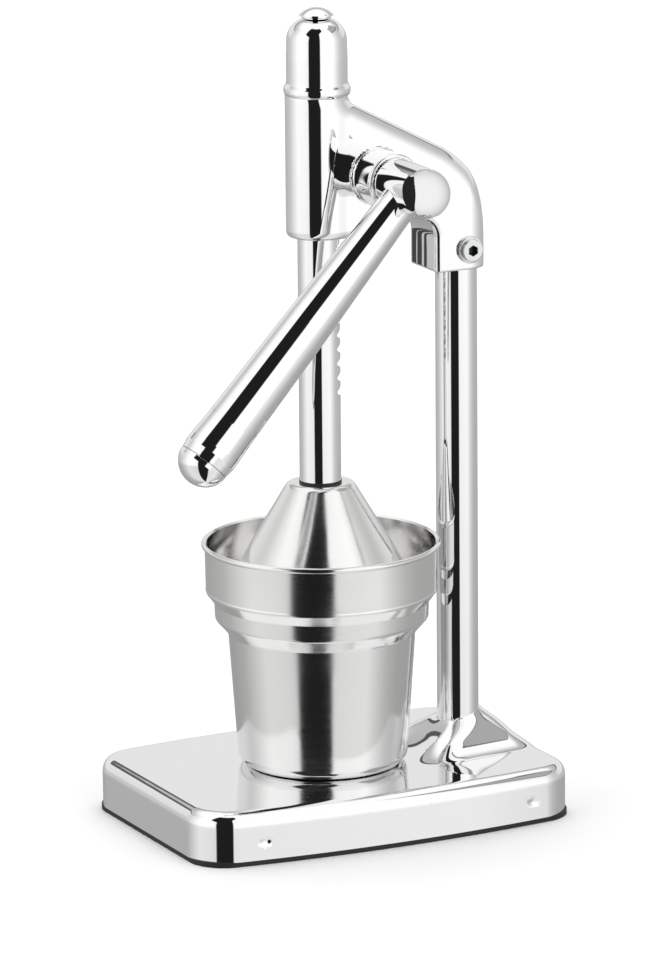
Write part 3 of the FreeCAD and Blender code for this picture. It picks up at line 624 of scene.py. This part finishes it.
def card(name, middle, edge, start, end, rises):
    """Part of a bowl round the hub's end, seen only from inside.

    Its angles are turned from the camera's way; it glows most in the middle.
    """
    points = []
    for i in range(CARD_STEPS + 1):
        for e in rises:
            turn = math.radians(start(e) + (end(e) - start(e)) * i / CARD_STEPS)
            tilt = math.radians(e)
            way_out = (hub_forward * math.cos(turn) * math.cos(tilt)
                       + right * math.sin(turn) * math.cos(tilt) + up * math.sin(tilt))
            points.append(HUB_CENTRE + way_out * CARD_R)
    n = len(rises)
    faces = [(i * n + j, i * n + j + 1, (i + 1) * n + j + 1, (i + 1) * n + j)
             for i in range(CARD_STEPS) for j in range(n - 1)]
    graph = mirror_only(name, points, faces)
    place = graph.add("ShaderNodeTexCoord").outputs["Object"]
    facing = graph.dot(place, tuple(hub_forward / CARD_R))
    facing = graph.math("SUBTRACT", facing, HUB_CENTRE.dot(hub_forward) / CARD_R)
    glow = graph.add("ShaderNodeEmission")
    graph.feed(glow.inputs["Strength"], graph.span(facing, -0.2, 0.95, edge, middle))
    clear = graph.add("ShaderNodeBsdfTransparent")
    sides = graph.add("ShaderNodeMixShader")
    graph.feed(sides.inputs[0], graph.add("ShaderNodeNewGeometry").outputs["Backfacing"])
    graph.feed(sides.inputs[1], glow.outputs[0])
    graph.feed(sides.inputs[2], clear.outputs[0])
    graph.feed(graph.add("ShaderNodeOutputMaterial").inputs["Surface"], sides.outputs[0])


def card_seam(rise_angle):
    """Turn, in degrees, where the light card meets the dark one."""
    return -26.0 - 0.008 * rise_angle ** 2


STRIP_TONE = 0.06
STRIP_X = ARCH_X - 13
STRIP_Z = (SOCKET_BOTTOM - 12, ARCH_Z + 8)
STRIP_SPANS_Y = ((22.0, 24.5), (26.5, 31.0), (31.8, 37.0))

for number, (low_y, high_y) in enumerate(STRIP_SPANS_Y):
    corners = [(low_y, STRIP_Z[0]), (high_y, STRIP_Z[0]), (high_y, STRIP_Z[1]), (low_y, STRIP_Z[1])]
    strip = mirror_only(f"socket_strip_{number}",
                        [(STRIP_X * MM, y * MM, z * MM) for y, z in corners], [(0, 1, 2, 3)])
    strip_glow = strip.add("ShaderNodeEmission")
    strip_glow.inputs["Strength"].default_value = STRIP_TONE
    strip.feed(strip.add("ShaderNodeOutputMaterial").inputs["Surface"], strip_glow.outputs[0])

card("hub_card_light", middle=0.98, edge=0.52, start=card_seam, end=lambda e: 105.0,
     rises=range(-72, 73, 8))
card("hub_card_dark", middle=0.02, edge=0.02, start=lambda e: -80.0, end=card_seam,
     rises=range(-52, 49, 10))


# ------------------------------------------------------------ materials

MICRON = 1e-6
ZINC = (0.74, 0.75, 0.76)
# Painted shade: dark colour put into the clamp screw's hexagon socket in place of the shade that
# falls there.
SOCKET_SHADE_TONE = (0.012, 0.012, 0.013, 1)


def material(name, tint, metallic):
    """Material of one tint, with its graph, its shader and its object coordinates."""
    made = bpy.data.materials.new(name)
    made.use_nodes = True
    graph = Graph(made.node_tree)
    shader = made.node_tree.nodes["Principled BSDF"]
    shader.inputs["Metallic"].default_value = metallic
    shader.inputs["Base Color"].default_value = (*tint, 1)
    place = graph.add("ShaderNodeTexCoord").outputs["Object"]
    return made, graph, shader, place


def noise(graph, place, scale, detail=2.0, stretch=None):
    """Noise between 0 and 1; scale is features per metre, stretch multiplies it by axis."""
    if stretch is not None:
        mapping = graph.add("ShaderNodeMapping")
        graph.feed(mapping.inputs["Vector"], place)
        mapping.inputs["Scale"].default_value = stretch
        place = mapping.outputs[0]
    node = graph.add("ShaderNodeTexNoise")
    graph.feed(node.inputs["Vector"], place)
    node.inputs["Scale"].default_value = scale
    node.inputs["Detail"].default_value = detail
    return node.outputs["Fac"]


def bump(graph, shader, layers):
    """Stacks bumps; each layer is a height between 0 and 1 and its depth in microns."""
    last = None
    for height_map, depth in layers:
        node = graph.add("ShaderNodeBump")
        node.inputs["Strength"].default_value = 1.0
        node.inputs["Distance"].default_value = depth * MICRON
        graph.feed(node.inputs["Height"], height_map)
        if last is not None:
            graph.feed(node.inputs["Normal"], last)
        last = node.outputs[0]
    graph.feed(shader.inputs["Normal"], last)


def roughen(graph, shader, factor, low, high):
    """Roughness between low and high, led by a noise."""
    graph.feed(shader.inputs["Roughness"], graph.span(factor, 0.3, 0.7, low, high))


def chrome(name, tint, wave, haze):
    """Chrome plate: faint waves of the polished metal under it, smears and hairline scratches."""
    made, graph, shader, place = material(name, (tint, tint, tint * 1.006), 1.0)
    smear = noise(graph, place, 38.0, 3.0)
    hairline = noise(graph, place, 1.0, 1.0, (900.0, 900.0, 90.0))
    roughen(graph, shader, graph.mix(0.35, smear, hairline), 0.012, haze)
    bump(graph, shader, [(noise(graph, place, 55.0, 1.0), wave), (hairline, 1.2)])
    return made


def satin(name, tint):
    """Spun stainless steel: lines round the axis, with slow changes of gloss."""
    made, graph, shader, place = material(name, (tint, tint * 0.995, tint * 0.985), 1.0)
    lines = noise(graph, place, 1.0, 2.0, (28.0, 28.0, 2600.0))
    cloud = noise(graph, place, 24.0, 2.0)
    roughen(graph, shader, graph.mix(0.5, lines, cloud), 0.09, 0.18)
    bump(graph, shader, [(lines, 6), (noise(graph, place, 42.0, 1.0), 120)])
    shader.inputs["Anisotropic"].default_value = 0.45
    tangent = graph.add("ShaderNodeTangent", direction_type="RADIAL", axis="Z")
    graph.feed(shader.inputs["Tangent"], tangent.outputs[0])
    return made


def rubber(name, tint):
    """Matt rubber with a fine grain."""
    made, graph, shader, place = material(name, (tint, tint, tint), 0.0)
    grain = noise(graph, place, 2600.0, 3.0)
    roughen(graph, shader, grain, 0.5, 0.72)
    bump(graph, shader, [(grain, 50), (noise(graph, place, 120.0, 2.0), 100)])
    return made


def zinc(name):
    """Bright zinc with fine turning marks, and painted shade in the hexagon socket of the clamp
    screw: a dark, matt colour there stands in for the shade in the recess.
    """
    made, graph, shader, place = material(name, ZINC, 1.0)
    marks = noise(graph, place, 1800.0, 2.0)
    split = graph.add("ShaderNodeSeparateXYZ")
    graph.feed(split.inputs[0], place)
    across = graph.math("SUBTRACT", split.outputs[0], COLUMN_X * MM)
    over = graph.math("SUBTRACT", split.outputs[2], CLAMP_Z * MM)
    away = graph.math("SQRT", graph.math("ADD", graph.math("MULTIPLY", across, across),
                                         graph.math("MULTIPLY", over, over)))
    front = (-HEAD_R - SCREW_HEAD_FRONT) * MM
    # Mask of the hexagon socket; inside it the colour turns dark and matt, painted shade in the
    # recess.
    socket = graph.math("MULTIPLY", graph.span(away, 0.0027, 0.0025),
                        graph.span(split.outputs[1], front + 0.0003, front + 0.0009))
    graph.feed(shader.inputs["Metallic"], graph.mix(socket, 1.0, 0.2))
    colour = graph.add("ShaderNodeMix", data_type="RGBA")
    graph.feed(colour.inputs[0], socket)
    colour.inputs[6].default_value = (*ZINC, 1)
    colour.inputs[7].default_value = SOCKET_SHADE_TONE
    graph.feed(shader.inputs["Base Color"], colour.outputs[2])
    roughen(graph, shader, graph.mix(socket, marks, 1.0), 0.10, 0.30)
    bump(graph, shader, [(marks, 6)])
    return made


def fibre(name):
    """Dark pressed fibre."""
    made, graph, shader, place = material(name, (0.016, 0.016, 0.017), 0.0)
    grain = noise(graph, place, 1500.0, 3.0)
    roughen(graph, shader, grain, 0.4, 0.7)
    bump(graph, shader, [(grain, 40)])
    return made


MATERIALS = {
    "chrome_casting": chrome("chrome_casting_look", tint=0.90, wave=30, haze=0.05),
    "chrome_bar": chrome("chrome_bar_look", tint=0.89, wave=6, haze=0.05),
    "chrome_turned": chrome("chrome_turned_look", tint=0.90, wave=10, haze=0.05),
    "satin_steel": satin("satin_steel_look", tint=0.84),
    "zinc_screw": zinc("zinc_screw_look"),
    "fibre_washer": fibre("fibre_washer_look"),
    "rubber_mat": rubber("rubber_mat_look", tint=0.012),
}
for row in frame["record"]["subparts"]:
    node = frame["nodes"][row["node"]]
    node.data.materials.clear()
    node.data.materials.append(MATERIALS[row["material_slot"]])
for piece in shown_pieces():
    if "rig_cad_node" not in piece:
        piece.data.materials.clear()
        piece.data.materials.append(MATERIALS[piece["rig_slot"]])
